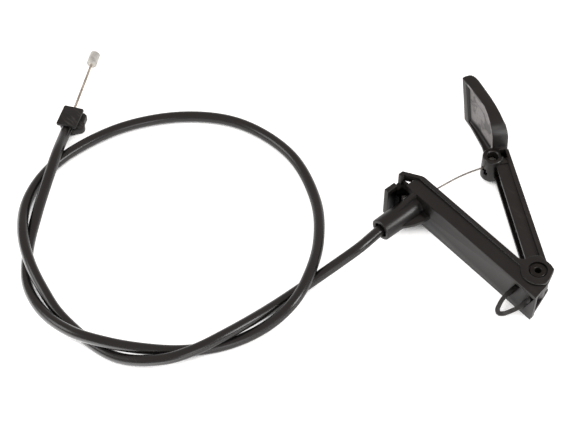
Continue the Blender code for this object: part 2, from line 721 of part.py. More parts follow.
def arm_back(along):
    """The arm's back edge, which nears the pivot's line as the paddle is neared."""
    return -ARM_BACK + (ARM_BACK - ARM_END_BACK) * along / ARM_LENGTH


def arm_front(along):
    return ARM_FRONT + (ARM_END_FRONT - ARM_FRONT) * along / ARM_LENGTH


def lever(plastic, pivot):
    """The lever: hub, channel arm, cable socket and the finger paddle, moulded in one."""
    hub = [(HUB_RADIUS, HUB_LOW), (HUB_RADIUS, HUB_HIGH)]
    body = place("lever", turned_mesh("lever", hub), plastic, pivot)

    low = MIDDLE - ARM_HEIGHT / 2
    high = MIDDLE + ARM_HEIGHT / 2
    back_low = MIDDLE - BACK_HEIGHT / 2
    back_high = MIDDLE + BACK_HEIGHT / 2
    arm_end = PLATFORM_START + 2.0 * MM
    wall_start = HOLE_RADIUS + 1.0 * MM
    sides = [(wall_start, arm_back(wall_start) + 0.6 * MM), (arm_end, arm_back(arm_end) + 0.6 * MM)]
    sides += [(arm_end, arm_front(arm_end)), (wall_start, arm_front(wall_start))]
    forms = [
        ("arm_low_wall", sides, low, low + ARM_WALL),
        ("arm_high_wall", sides, high - ARM_WALL, high),
    ]
    plate = [(0.0, arm_back(0.0)), (ARM_LENGTH, arm_back(ARM_LENGTH))]
    plate += [(ARM_LENGTH, arm_back(ARM_LENGTH) + BACK_PLATE), (0.0, arm_back(0.0) + BACK_PLATE)]
    forms.append(("arm_back", plate, back_low, back_high))
    platform_end = PADDLE_START + 6.0 * MM
    platform_back = arm_back(ARM_LENGTH) + BACK_PLATE - OVERLAP
    platform_front = arm_front(ARM_LENGTH) - 0.6 * MM
    platform = rounded_box((PLATFORM_START, platform_back), (platform_end, platform_front))
    forms.append(("platform", platform, low - PLATFORM_RISE / 2, high + PLATFORM_RISE / 2))
    ribs = int((PLATFORM_START - HUB_RADIUS) / ARM_RIB_PITCH)
    for i in range(ribs):
        x = HUB_RADIUS + ARM_RIB_PITCH * (i + 0.75)
        rib = rounded_box((x, arm_back(x) + BACK_PLATE - OVERLAP), (x + ARM_RIB, arm_front(x) - 1.8 * MM))
        forms.append((f"arm_rib_{i}", rib, low + OVERLAP, high - OVERLAP))
    for name, outline, start, end in forms:
        join(body, tool_on(pivot, name, prism_mesh(name, outline, start, end)))

    socket = Matrix.Translation((BARREL_ALONG, BARREL_FORWARD, 0.0))
    barrel = [
        (BARREL_RADIUS - 0.5 * MM, HUB_LOW),
        (BARREL_RADIUS, HUB_LOW + 0.5 * MM),
        (BARREL_RADIUS, HUB_HIGH - 0.5 * MM),
        (BARREL_RADIUS - 0.5 * MM, HUB_HIGH),
    ]
    join(body, tool_on(pivot, "barrel", turned_mesh("barrel", barrel), socket))
    join(body, tool_on(pivot, "paddle", paddle_mesh()))
    cut(body, tool_on(pivot, "dish", dish_mesh()))

    bore = [(SOCKET_RADIUS, HUB_LOW + SOCKET_FLOOR), (SOCKET_RADIUS, HUB_HIGH - 0.6 * MM)]
    bore += [(SOCKET_RADIUS + 1.0 * MM, HUB_HIGH + 0.4 * MM)]
    cut(body, tool_on(pivot, "socket_bore", turned_mesh("socket_bore", bore, SMALL_SIDES), socket))

    # The slot lets the wire swing with the lever; the keyhole below it lets the nipple in.
    reach = BARREL_RADIUS + 3.0 * MM
    slot = [(0.0, 0.0)] + arc((0.0, 0.0), reach, *SLOT_SWEEP, 4)
    half = WIRE_SLOT / 2
    slot_mesh = prism_mesh("wire_slot", slot, MIDDLE - half, MIDDLE + half)
    cut(body, tool_on(pivot, "wire_slot", slot_mesh, socket))
    key = [(0.0, 0.0)] + arc((0.0, 0.0), reach, *KEY_SWEEP, 3)
    key_mesh = prism_mesh("keyhole", key, MIDDLE - half - KEY_DROP, MIDDLE - half + OVERLAP)
    cut(body, tool_on(pivot, "keyhole", key_mesh, socket))

    pocket_back = arm_back(POCKET_START) + POCKET_WALL
    pocket = rounded_box(
        (POCKET_START, pocket_back),
        (POCKET_START + POCKET_LENGTH, pocket_back + POCKET_WIDTH),
    )
    pocket_top = high + PLATFORM_RISE + 2.0 * MM
    pocket_mesh = prism_mesh("pocket", pocket, high - POCKET_DEPTH, pocket_top)
    cut(body, tool_on(pivot, "pocket", pocket_mesh))

    bore = [(HOLE_RADIUS, HUB_LOW - 2.0 * MM), (HOLE_RADIUS, HUB_HIGH + 2.0 * MM)]
    cut(body, tool_on(pivot, "hub_bore", turned_mesh("hub_bore", bore)))
    return body


def tool_on(parent, name, mesh, matrix=None):
    made = tool(name, mesh)
    made.parent = parent
    if matrix is not None:
        made.matrix_local = matrix
    return made


def socket_centre(turn=0.0):
    """The cable socket's middle in the bracket's frame, the lever turned by an angle towards closing."""
    angle = OPEN_ANGLE + turn
    forward = angle + math.pi / 2
    x = PIVOT_X + BARREL_ALONG * math.cos(angle) + BARREL_FORWARD * math.cos(forward)
    y = PIVOT_Y + BARREL_ALONG * math.sin(angle) + BARREL_FORWARD * math.sin(forward)
    return Vector((x, y, MIDDLE))


def lever_nipple(metal, pivot):
    """The cross nipple in the lever's socket, on its own axis so that it can turn there."""
    low = HUB_LOW + SOCKET_FLOOR + GAP
    chamfer = 0.4 * MM
    profile = [
        (LEVER_NIPPLE_RADIUS - chamfer, low),
        (LEVER_NIPPLE_RADIUS, low + chamfer),
        (LEVER_NIPPLE_RADIUS, low + LEVER_NIPPLE_LENGTH - chamfer),
        (LEVER_NIPPLE_RADIUS - chamfer, low + LEVER_NIPPLE_LENGTH),
    ]
    mesh = turned_mesh("lever_nipple", profile, SMALL_SIDES)
    shade_round(mesh)
    made = place("lever_nipple", mesh, metal, pivot)
    made.location = (BARREL_ALONG, BARREL_FORWARD, 0.0)
    return made


def lever_wire(steel):
    """The bare wire from the sheath's end, through the floor, to the nipple in the lever."""
    start = Vector((GUIDE_X, GUIDE_SEAT - FERRULE_CAP - GAP, MIDDLE))
    socket = socket_centre()
    points = [start]
    points += [start.lerp(socket, share) - Vector((aside * MM, 0.0, 0.0)) for share, aside in WIRE_BOW]
    heading = (socket - points[-1]).normalized()
    points.append(socket - heading * (LEVER_NIPPLE_RADIUS + GAP))
    return tube("lever_wire", smooth_path(points, 4.0 * MM), WIRE_RADIUS, steel, 2)


def guide_ferrule(metal):
    """The cap on the sheath's end, seated at the bottom of the guide's bore."""
    outer = GUIDE_BORE_RADIUS - GAP
    inner = SHEATH_DIAMETER / 2 + GAP
    seat = -GUIDE_SEAT + GAP
    mouth = seat + FERRULE_LENGTH
    profile = [
        (WIRE_RADIUS + 2 * GAP, seat),
        (outer - 0.5 * MM, seat),
        (outer, seat + 0.5 * MM),
        (outer, mouth),
        (inner, mouth),
        (inner, seat + FERRULE_CAP),
        (WIRE_RADIUS + 2 * GAP, seat + FERRULE_CAP),
    ]
    mesh = turned_mesh("guide_ferrule", profile, SMALL_SIDES, closed=True)
    shade_round(mesh)
    made = place("guide_ferrule", mesh, metal)
    made.location = (GUIDE_X, 0.0, MIDDLE)
    made.rotation_euler = (math.radians(90.0), 0.0, 0.0)
    return made


def block_point(along, across=0.0, height=CABLE_HEIGHT):
    """A point of the end fitting's own frame, in the bracket's frame."""
    turn = Matrix.Rotation(BLOCK_ANGLE, 3, "Z")
    return BLOCK_PLACE + turn @ Vector((along, across, height))


def sheath(rubber):
    """The black sheath, from the ferrule in the guide to the end fitting."""
    route = [Vector(point) * MM for point in SHEATH_ROUTE]
    route[0] = Vector((GUIDE_X, GUIDE_SEAT - GAP - FERRULE_CAP - GAP, MIDDLE))
    mouth = block_point(-BLOCK_LENGTH / 2 - 2.0 * MM)
    route += [mouth, block_point(SHEATH_END)]
    points = smooth_path(route, SHEATH_STEP)
    points[-2] = mouth  # so the sheath enters the fitting straight
    return tube("sheath", points, SHEATH_DIAMETER / 2, rubber, 3)


def retaining_loop(plastic):
    """A thin moulded loop, threaded through both slots and round the strip of floor between them."""
    inner = FLOOR_IN + 1.5 * GAP + LOOP_THICKNESS / 2
    inside = [Vector((x * MM, inner, LOOP_HEIGHT)) for x in (39.6, 44.0, 48.5)]
    outside = [Vector(point) * MM for point in LOOP_ROUTE]
    closed = inside + outside
    doubled = closed[-2:] + closed + closed[:3]
    path = smooth_path(doubled, 1.1 * MM)
    first = min(range(len(path) // 3), key=lambda i: (path[i] - closed[0]).length)
    last = min(range(2 * len(path) // 3, len(path)), key=lambda i: (path[i] - closed[0]).length)
    path = path[first:last]
    slant = SLOT_SLANT / (SLOT_HIGH - SLOT_LOW)
    slope_length = 2 * LOOP_THICKNESS
    rings = []
    count = len(path)
    for i, where in enumerate(path):
        tangent = (path[(i + 1) % count] - path[i - 1]).normalized()
        free = min(1.0, max(0.0, (FLOOR_OUT - GAP - where.y) / slope_length))
        wide = Vector((slant, -LOOP_LEAN * free, 1.0))
        across = (wide - tangent * wide.dot(tangent)).normalized()
        thick = tangent.cross(across)
        ring = []
        for a, b in ((-1, -1), (1, -1), (1, 1), (-1, 1)):
            ring.append(where + across * (a * LOOP_WIDTH / 2) + thick * (b * LOOP_THICKNESS / 2))
        rings.append(ring)
    mesh = loft_mesh("retaining_loop", rings, closed=True)
    shade_round(mesh, 50.0)
    return place("retaining_loop", mesh, plastic)


def end_block(plastic):
    """The fitting clipped to the latch: a plate over a narrower core, with a lobed flange on one side."""
    frame = bpy.data.objects.new("end_fitting_frame", None)
    bpy.context.scene.collection.objects.link(frame)
    frame.location = block_point(0.0, BLOCK_ASIDE, 0.0)
    frame.rotation_euler = (0.0, 0.0, BLOCK_ANGLE + BLOCK_TURN)

    half_length = BLOCK_LENGTH / 2
    half_width = BLOCK_WIDTH / 2
    core = rounded_box((BLOCK_ENTRY, -half_width + 1.0 * MM), (half_length - 0.6 * MM, half_width - 0.6 * MM))
    body = place("end_block", prism_mesh("end_block", core, 0.0, BLOCK_HEIGHT - OVERLAP), plastic, frame)

    corner = 1.2 * MM
    plate = []
    for x, y, start in ((1, 1, 0.0), (-1, 1, 90.0), (-1, -1, 180.0), (1, -1, 270.0)):
        centre = (x * (half_length - corner), y * (half_width - corner))
        plate += arc(centre, corner, start, start + 90.0, 4)
    plate_low = BLOCK_HEIGHT - BLOCK_PLATE
    plate_mesh = prism_mesh("block_plate", plate, plate_low, BLOCK_HEIGHT, EDGE_ROUND)
    join(body, tool_on(frame, "block_plate", plate_mesh))

    ledge = -half_width - BLOCK_LEDGE
    lobe = (-half_length + BLOCK_LOBE_ALONG, -half_width)
    flange = [(half_length, -half_width + 3.0 * MM), (half_length, -half_width)]
    flange += [(half_length - 1.4 * MM, ledge), (lobe[0] + 3.2 * MM, ledge)]
    flange += arc(lobe, BLOCK_LOBE_RADIUS, 325.0, 190.0, 9)
    flange += [(BLOCK_ENTRY - 4.6 * MM, -half_width + 3.0 * MM)]
    flange_top = plate_low - BLOCK_GROOVE
    join(body, tool_on(frame, "block_flange", prism_mesh("block_flange", flange, 0.0, flange_top, EDGE_ROUND)))

    turn = Matrix.Rotation(-BLOCK_TURN, 4, "Z") @ Matrix.Translation((0.0, -BLOCK_ASIDE, CABLE_HEIGHT))
    turn = turn @ Matrix.Rotation(math.radians(90.0), 4, "Y")
    bore = [
        (SHEATH_DIAMETER / 2 + GAP, -half_length - 3.0 * MM),
        (SHEATH_DIAMETER / 2 + GAP, SHEATH_END + GAP),
        (WIRE_RADIUS + 2 * GAP, SHEATH_END + GAP),
        (WIRE_RADIUS + 2 * GAP, half_length + 3.0 * MM),
    ]
    cut(body, tool_on(frame, "block_bore", turned_mesh("block_bore", bore, SMALL_SIDES), turn))
    return body


def end_wire(steel):
    """The bare wire between the end fitting and its nipple."""
    start = block_point(SHEATH_END + 2 * GAP)
    end = nipple_centre() - cable_heading() * (END_NIPPLE_LENGTH / 2 + GAP)
    return tube("end_wire", [start, start.lerp(end, 0.5), end], WIRE_RADIUS, steel, 2)


def cable_heading():
    return Vector((math.cos(BLOCK_ANGLE), math.sin(BLOCK_ANGLE), 0.0))


def nipple_centre():
    reach = BLOCK_LENGTH / 2 + END_WIRE_LENGTH + END_NIPPLE_LENGTH / 2
    return block_point(reach, 0.0, END_NIPPLE_RADIUS + GAP)


def end_nipple(metal):
    """The cast nipple on the wire's far end, lying along the cable."""
    half = END_NIPPLE_LENGTH / 2
    chamfer = 0.5 * MM
    profile = [
        (END_NIPPLE_RADIUS - chamfer, -half),
        (END_NIPPLE_RADIUS, -half + chamfer),
        (END_NIPPLE_RADIUS, half - chamfer),
        (END_NIPPLE_RADIUS - chamfer, half),
    ]
    mesh = turned_mesh("end_nipple", profile, SMALL_SIDES)
    shade_round(mesh)
    made = place("end_nipple", mesh, metal)
    made.location = nipple_centre()
    made.rotation_euler = (0.0, math.radians(90.0), BLOCK_ANGLE)
    return made


def main():
    clear_objects()
    plastic = material("black_plastic", (0.022, 0.021, 0.020), 0.42)
    fitting = material("black_fitting", (0.020, 0.020, 0.020), 0.5)
    rubber = material("black_sheath", (0.016, 0.016, 0.017), 0.38)
    loop = material("black_loop", (0.024, 0.023, 0.023), 0.45)
    rivet = material("dark_rivet", (0.06, 0.055, 0.05), 0.4, 0.8)
    steel = material("cable_steel", (0.30, 0.28, 0.26), 0.42, 1.0)
    cast = material("cast_zinc", (0.55, 0.56, 0.54), 0.48, 0.9)

    pivot = bpy.data.objects.new("lever_pivot", None)
    bpy.context.scene.collection.objects.link(pivot)
    pivot.location = (PIVOT_X, PIVOT_Y, 0.0)
    pivot.rotation_euler = (0.0, 0.0, OPEN_ANGLE)

    base_bracket(plastic)
    pivot_rivet(rivet)
    retaining_loop(loop)
    lever(plastic, pivot)
    lever_nipple(cast, pivot)
    lever_wire(steel)
    guide_ferrule(rivet)
    sheath(rubber)
    end_block(fitting)
    end_wire(steel)
    end_nipple(cast)
    bpy.context.view_layer.update()


main()
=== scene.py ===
"""Looks of the hood release cable: bracket and lever mouldings, sheath, wires, fitting and nipples."""

import math

import bmesh
import bpy
from mathutils import Matrix, Vector


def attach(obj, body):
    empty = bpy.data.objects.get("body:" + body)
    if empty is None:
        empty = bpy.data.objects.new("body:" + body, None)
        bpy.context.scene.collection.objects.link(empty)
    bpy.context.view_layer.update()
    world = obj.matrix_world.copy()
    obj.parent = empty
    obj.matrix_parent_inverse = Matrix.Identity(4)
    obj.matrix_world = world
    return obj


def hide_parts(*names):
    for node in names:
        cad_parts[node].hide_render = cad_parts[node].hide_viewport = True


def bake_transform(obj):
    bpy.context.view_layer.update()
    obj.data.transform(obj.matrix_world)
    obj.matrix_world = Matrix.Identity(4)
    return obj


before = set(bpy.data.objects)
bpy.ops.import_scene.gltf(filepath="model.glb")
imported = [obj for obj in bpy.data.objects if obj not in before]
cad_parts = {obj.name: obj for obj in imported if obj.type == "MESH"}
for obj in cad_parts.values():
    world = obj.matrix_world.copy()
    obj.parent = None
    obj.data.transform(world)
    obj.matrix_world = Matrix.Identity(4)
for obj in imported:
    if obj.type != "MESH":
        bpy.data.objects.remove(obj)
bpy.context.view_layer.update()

MM = 0.001
UP = Vector((0.0, 0.0, 1.0))
FLOAT = "NodeSocketFloat"
COLOUR = "NodeSocketColor"
VECTOR = "NodeSocketVector"

# The photograph's camera: its focal length and the picture's width in pixels, its place and its aim.
PHOTO_FOCUS = 1650.0
PHOTO_WIDTH = 570
SENSOR_WIDTH = 36.0
CAMERA_PLACE = (0.38698, -0.49030, 0.85654)
CAMERA_AIM = (-0.10236, -0.06941, 0.0)

# The room: walls that are pale at the table's level, and a dim ceiling that begins and is full where a
# line of sight climbs as steeply as this.
PALE_WALLS = (0.85, 0.86, 0.88, 1.0)
DIM_CEILING = (0.43, 0.39, 0.37, 1.0)
CEILING_CLIMB = (0.02, 0.30)
WHITE = (1.0, 1.0, 1.0, 1.0)

# The table's own white.
TABLE_PLACE = (-0.1, -0.08, -0.0004)
TABLE_HALF = 6.0
TABLE_PAPER = (0.86, 0.86, 0.86, 1.0)
TABLE_GLOW = 0.86  # as the camera sees it
MIRRORED_GLOW = 0.46  # as the gloss of the plastic shows it
FRONT_GLOW = 2.6  # the same in front and to the right, a painted pool of light that glows brighter to glossy rays
FRONT_POOL = (-0.10, -0.16)  # where that bright part begins and is full in front of the loop
RIGHT_POOL = (0.17, 0.20)  # the same to the right of the bracket, both from the table's middle

# Painted shade: the table's colour and glow go dark where the sheath shuts it in: how near the sheath is
# then, and the share of open sky at which the table is dark and at which it is white again.
SHUT_IN_PAINTED_SHADE = (0.02, 0.02, 0.02, 1.0)
SHUT_IN_REACH = 20.0 * MM
SHUT_IN_SKY = (0.22, 0.34)

# The lamps: name, place, what each of them faces, its width in metres and its power in watts.
SOFTBOXES = [
    ("right_softbox", (0.95, -0.42, 0.48), (-0.05, -0.05, 0.02), 0.6, 1.5),
    ("back_softbox", (0.80, 0.42, 0.66), (-0.05, -0.05, 0.02), 0.5, 4.0),
    ("front_softbox", (-0.75, -1.10, 0.75), (-0.1, -0.08, 0.0), 0.8, 4.0),
]

# How far the edges of the rigid pieces are rounded.
LEVER_ROUND = 0.35 * MM
BRACKET_ROUND = 0.5 * MM
FITTING_ROUND = 0.5 * MM
STRAP_ROUND = 0.25 * MM
CROSS_NIPPLE_ROUND = 0.2 * MM
SMALL_ROUND = 0.15 * MM  # the rivet, the sheath's cap and the cast nipple
ROUND_SEGMENTS = 2

# A solid's loose triangles are merged where points are this near, and made one face within the first of
# these turns. An edge is rounded from the second turn up, and a rounded piece shades smooth to the third.
SAME_POINT = 0.001 * MM
ONE_FACE_WITHIN = math.radians(0.6)
ROUNDED_FROM = math.radians(28.0)
SMOOTH_UP_TO = math.radians(40.0)

STRAP_SWELL = 0.3 * MM  # how much fatter the strap is made on each side

# The lever at rest: its pivot, the way that it points and the middle of its cable socket.
PIVOT = Vector((45.0, 9.2, 0.0)) * MM
LEVER_ANGLE = math.radians(149.0)
LEVER_ALONG = Vector((math.cos(LEVER_ANGLE), math.sin(LEVER_ANGLE), 0.0))
LEVER_FORWARD = Vector((-LEVER_ALONG.y, LEVER_ALONG.x, 0.0))
SOCKET = Vector((-39.605, 55.369, 12.5)) * MM

# The lever's shoulder, fuller and rounder than its plain section, in millimetres: the place along the
# lever from its pivot, and how far its upper side slides and lifts there.
SHOULDER = [
    (103.2, 0.0, 0.0),
    (104.8, -1.0, 4.5),
    (106.6, -1.2, 0.3),
    (108.5, -1.0, -2.5),
    (110.5, -0.4, -3.0),
    (115.0, 0.0, -1.1),
    (120.0, 0.0, 0.0),
]
SHOULDER_FOOT = 22.0  # the height from which it does
SHOULDER_SPREAD = 4.0  # and how much higher it does so in full

# The paddle, in millimetres: where its twist begins, how long it is, the height of its middle, and at
# places along the lever its front face's distance from the lever's line.
PADDLE_START = 99.0
PADDLE_LENGTH = 50.0
PADDLE_MIDDLE = 22.0
PADDLE_HALF = 4.4  # about half its thickness
PADDLE_TWIST = math.radians(7.0)
TWIST_HASTE = 1.1  # the twist is full a little before the tip
PADDLE_FACE = [
    (103.0, 2.6),
    (106.6, 3.6),
    (115.0, 4.2),
    (121.0, 4.6),
    (128.0, 6.1),
    (136.0, 8.0),
    (143.4, 10.1),
    (146.3, 11.0),
]

# The paddle's dish, in millimetres: its depth at places along the lever, as a share of its depth in the
# part's source, its low and high sides, how far behind the front face it lies, and its end at the tip,
# which slides towards the pivot and leans back as it does.
DISH_DEPTH = [
    (108.0, 1.0),
    (116.0, 0.8),
    (124.0, 0.62),
    (133.0, 0.5),
    (139.0, 0.38),
    (142.6, 0.3),
    (144.5, 0.5),
]
DISH_SIDES = (2.8, 41.2)
DISH_BEHIND = (0.5, 7.3)
DISH_END = (143.2, 144.8)
DISH_END_SLIDE = -1.6
DISH_END_LEAN = 0.3

# The lever's hub, in millimetres, is drawn in behind the pivot, so that the cheeks cover it.
HUB_RIM = 7.0  # what is farther out than this
HUB_SHRINK = 0.78  # keeps this share of its distance
HUB_FADE = 3.0  # in full from this far behind the pivot

# The paddle's paler, mottled forward faces: from where to where along the lever, and above which height.
PALE_PATCH_REACH = (103.0 * MM, 141.6 * MM)
PALE_PATCH_FLOOR = 5.5 * MM
PALE_PATCH_FADE = 4.0 * MM

# Painted shade darkens the hollows beside the guide tube, black and without reflection: two corners of each,
# in millimetres, and how strongly the shade is painted there.
SHADED_HOLLOWS = [
    ((-62.9, -17.2, -2.0), (-52.6, -3.6, 21.0), 1.0),
    ((-45.0, -10.0, 3.0), (-34.5, -5.0, 23.0), 0.6),
]
HOLLOW_SHADE_FADE = 2.0 * MM
HOLLOW_SHADE_BLACK = (0.003, 0.003, 0.003, 1.0)

BUMP_HEIGHT = 0.1 * MM  # of the moulded grain, before its strength

# The end fitting: its place, the way that the cable runs through it and the cable's height there.
FITTING_PLACE = Vector((-256.8, -128.5, 0.0)) * MM
FITTING_LENGTH = 17.0 * MM
CABLE_ANGLE = math.radians(127.5)
CABLE_HEIGHT = 4.6 * MM

# The sheath, from the cap in the guide tube to its end in the fitting.
SHEATH_DIAMETER = 7.2 * MM
SHEATH_START = Vector((-48.0, -17.9, 12.5)) * MM
SHEATH_STRAIGHT = 2.0 * MM  # how far before the fitting it is in line with it
SHEATH_END = 1.5 * MM  # past the fitting's middle
SHEATH_STEP = 3.3 * MM
SHEATH_SIDES = 20
SHEATH_SMOOTH = math.radians(60.0)  # its sides shade smooth up to this turn, its end faces don't

# The bare wires: strands round one in the core, and the length in which a strand goes once round.
OUTER_STRANDS = 6
WIRE_LAY = 7.0 * MM
WIRE_STEP = 0.6 * MM
STRAND_SIDES = 8

# The lever's wire, and how far it bows aside at shares of its length, in millimetres.
LEVER_WIRE_RADIUS = 0.6 * MM
LEVER_WIRE_START = Vector((-48.0, -17.8, 12.5)) * MM
LEVER_WIRE_SHORT = 3.5 * MM  # it ends so far from the nipple's middle
LEVER_WIRE_BOW = [(0.12, 1.0), (0.22, 2.2), (0.38, 4.0), (0.54, 4.3), (0.67, 4.1), (0.78, 3.3), (0.89, 1.8)]

# The wire past the end fitting, which sinks a little on its way to the cast nipple.
END_WIRE_RADIUS = 0.9 * MM
END_WIRE_START = 2.1 * MM  # past the fitting's middle
END_WIRE_LENGTH = 44.5 * MM
END_WIRE_SHORT = 0.3 * MM
END_WIRE_HEIGHT = 3.8 * MM

# The sheath's middle line in millimetres, as in the part's source.
SHEATH_ROUTE = [
    (-48, -18, 12.5),
    (-48, -36, 12.5),
    (-46.5, -54.5, 12.4),
    (-48.5, -72.5, 8.3),
    (-51, -92.5, 4.2),
    (-51.5, -117, 4.6),
    (-51, -139.5, 8.5),
    (-52, -161, 11.3),
    (-55.5, -181, 11.3),
    (-64, -199.5, 8.9),
    (-87, -219, 4.3),
    (-131.5, -226.5, 4.6),
    (-153.5, -224.5, 8.8),
    (-175.5, -219, 11.4),
    (-196.5, -209, 11.3),
    (-217, -192, 6.8),
    (-230.5, -169, 4),
    (-234.5, -144.5, 4),
    (-229, -104, 4),
    (-209, -66.5, 4),
    (-180, -42.5, 4),
    (-138, -34.5, 4),
    (-98, -47, 4.2),
    (-69.5, -69.5, 8.3),
    (-52.5, -92, 11.6),
    (-43.5, -112.5, 10.5),
    (-43, -135, 5.7),
    (-49.5, -161, 4),
    (-63.5, -185, 4.2),
    (-80, -205.5, 8.4),
    (-96.5, -220.5, 11.7),
    (-116, -231, 11.3),
    (-141.5, -234, 7.4),
    (-167, -227.5, 4.2),
    (-187.5, -212, 4),
    (-205, -192.5, 6.8),
    (-220.5, -172, 11.4),
    (-234.6, -154.4, 11.5),
]


class Tree:
    """A node tree with its links made as its nodes are added."""

    def __init__(self, tree):
        self.tree = tree

    def add(self, kind, links=None, **values):
        """A new node; links gives each socket a value or another node's socket."""
        node = self.tree.nodes.new(kind)
        for name, value in values.items():
            setattr(node, name, value)
        for socket, source in (links or {}).items():
            target = node.inputs[socket]
            if isinstance(source, bpy.types.NodeSocket):
                self.tree.links.new(source, target)
            else:
                target.default_value = source
        return node

    def link(self, source, target):
        """A link from one node's socket to another's."""
        self.tree.links.new(source, target)

    def reckon(self, operation, *values):
        """The result of one step of arithmetic."""
        return self.add("ShaderNodeMath", dict(enumerate(values)), operation=operation).outputs[0]

    def remap(self, value, start, end, low=0.0, high=1.0, smooth=False):
        """Low where the value is at start, high where it is at end, and in between on the way."""
        limits = {"Value": value, "From Min": start, "From Max": end, "To Min": low, "To Max": high}
        way = "SMOOTHSTEP" if smooth else "LINEAR"
        return self.add("ShaderNodeMapRange", limits, interpolation_type=way).outputs["Result"]

    def noise(self, where, scale, detail, roughness=0.5, distortion=0.0):
        """A noise's value, from 0 to 1."""
        values = {
            "Vector": where,
            "Scale": scale,
            "Detail": detail,
            "Roughness": roughness,
            "Distortion": distortion,
        }
        return self.add("ShaderNodeTexNoise", values).outputs["Fac"]

    def mix(self, factor, first, second):
        """The colour between first and second."""
        node = self.add("ShaderNodeMix", {0: factor, 6: first, 7: second}, data_type="RGBA")
        return node.outputs[2]

    def group(self, name, links):
        """What a shader group puts out, with its sockets set or linked."""
        return self.add("ShaderNodeGroup", node_tree=GROUPS[name], links=links).outputs


def shader_group(name, inputs, outputs):
    """A new group with the named sockets: its tree, what it is given and where its results go."""
    group = bpy.data.node_groups.new(name, "ShaderNodeTree")
    for label, kind, value in inputs:
        socket = group.interface.new_socket(label, in_out="INPUT", socket_type=kind)
        socket.default_value = value
    for label, kind in outputs:
        group.interface.new_socket(label, in_out="OUTPUT", socket_type=kind)
    tree = Tree(group)
    return tree, tree.add("NodeGroupInput").outputs, tree.add("NodeGroupOutput").inputs


def moulded_grain():
    """Fine spark-eroded grain and slow drift of tone, as a mould leaves on nylon."""
    tree, given, out = shader_group(
        "moulded_grain",
        [
            ("Vector", VECTOR, (0.0, 0.0, 0.0)),
            ("Grain Scale", FLOAT, 2600.0),
            ("Flow Scale", FLOAT, 42.0),
            ("Base Color", COLOUR, (0.02, 0.02, 0.02, 1.0)),
            ("Drift", FLOAT, 0.25),
            ("Base Roughness", FLOAT, 0.42),
        ],
        [("Color", COLOUR), ("Roughness", FLOAT), ("Height", FLOAT)],
    )
    dark_to_pale = (0.3, 0.7)
    roughness_share = 0.25
    grain = tree.noise(given["Vector"], given["Grain Scale"], detail=2.0)
    flow = tree.noise(given["Vector"], given["Flow Scale"], detail=4.0, roughness=0.6)
    swing = tree.reckon("MULTIPLY", tree.remap(flow, *dark_to_pale, low=-1.0), given["Drift"])
    gain = tree.reckon("ADD", swing, 1.0)
    colour = tree.add("ShaderNodeVectorMath", {0: given["Base Color"], "Scale": gain}, operation="SCALE")
    rougher = tree.reckon("MULTIPLY", swing, roughness_share)
    tree.link(colour.outputs["Vector"], out["Color"])
    tree.link(tree.reckon("ADD", given["Base Roughness"], rougher), out["Roughness"])
    tree.link(grain, out["Height"])
    return tree.tree


def handling_marks():
    """Fine scuffs and a thin film of dust, strongest where a broad noise lets them gather."""
    tree, given, out = shader_group(
        "handling_marks",
        [
            ("Vector", VECTOR, (0.0, 0.0, 0.0)),
            ("Scuff Scale", FLOAT, 260.0),
            ("Patch Scale", FLOAT, 30.0),
            ("Amount", FLOAT, 0.5),
            ("Color", COLOUR, (0.02, 0.02, 0.02, 1.0)),
            ("Mark Color", COLOUR, (0.12, 0.11, 0.10, 1.0)),
            ("Roughness", FLOAT, 0.4),
        ],
        [("Color", COLOUR), ("Roughness", FLOAT)],
    )
    scuff_edge = (0.52, 0.72)
    patch_edge = (0.42, 0.66)
    added_roughness = 0.25
    drawn_out = tree.add("ShaderNodeMapping", {"Vector": given["Vector"], "Scale": (0.25, 1.0, 1.6)})
    scuff = tree.noise(drawn_out.outputs["Vector"], given["Scuff Scale"], detail=6.0, roughness=0.7)
    patch = tree.noise(given["Vector"], given["Patch Scale"], detail=3.0)
    both = tree.reckon("MULTIPLY", tree.remap(scuff, *scuff_edge), tree.remap(patch, *patch_edge))
    mask = tree.reckon("MULTIPLY", both, given["Amount"])
    tree.link(tree.mix(mask, given["Color"], given["Mark Color"]), out["Color"])
    tree.link(tree.reckon("MULTIPLY_ADD", mask, added_roughness, given["Roughness"]), out["Roughness"])
    return tree.tree


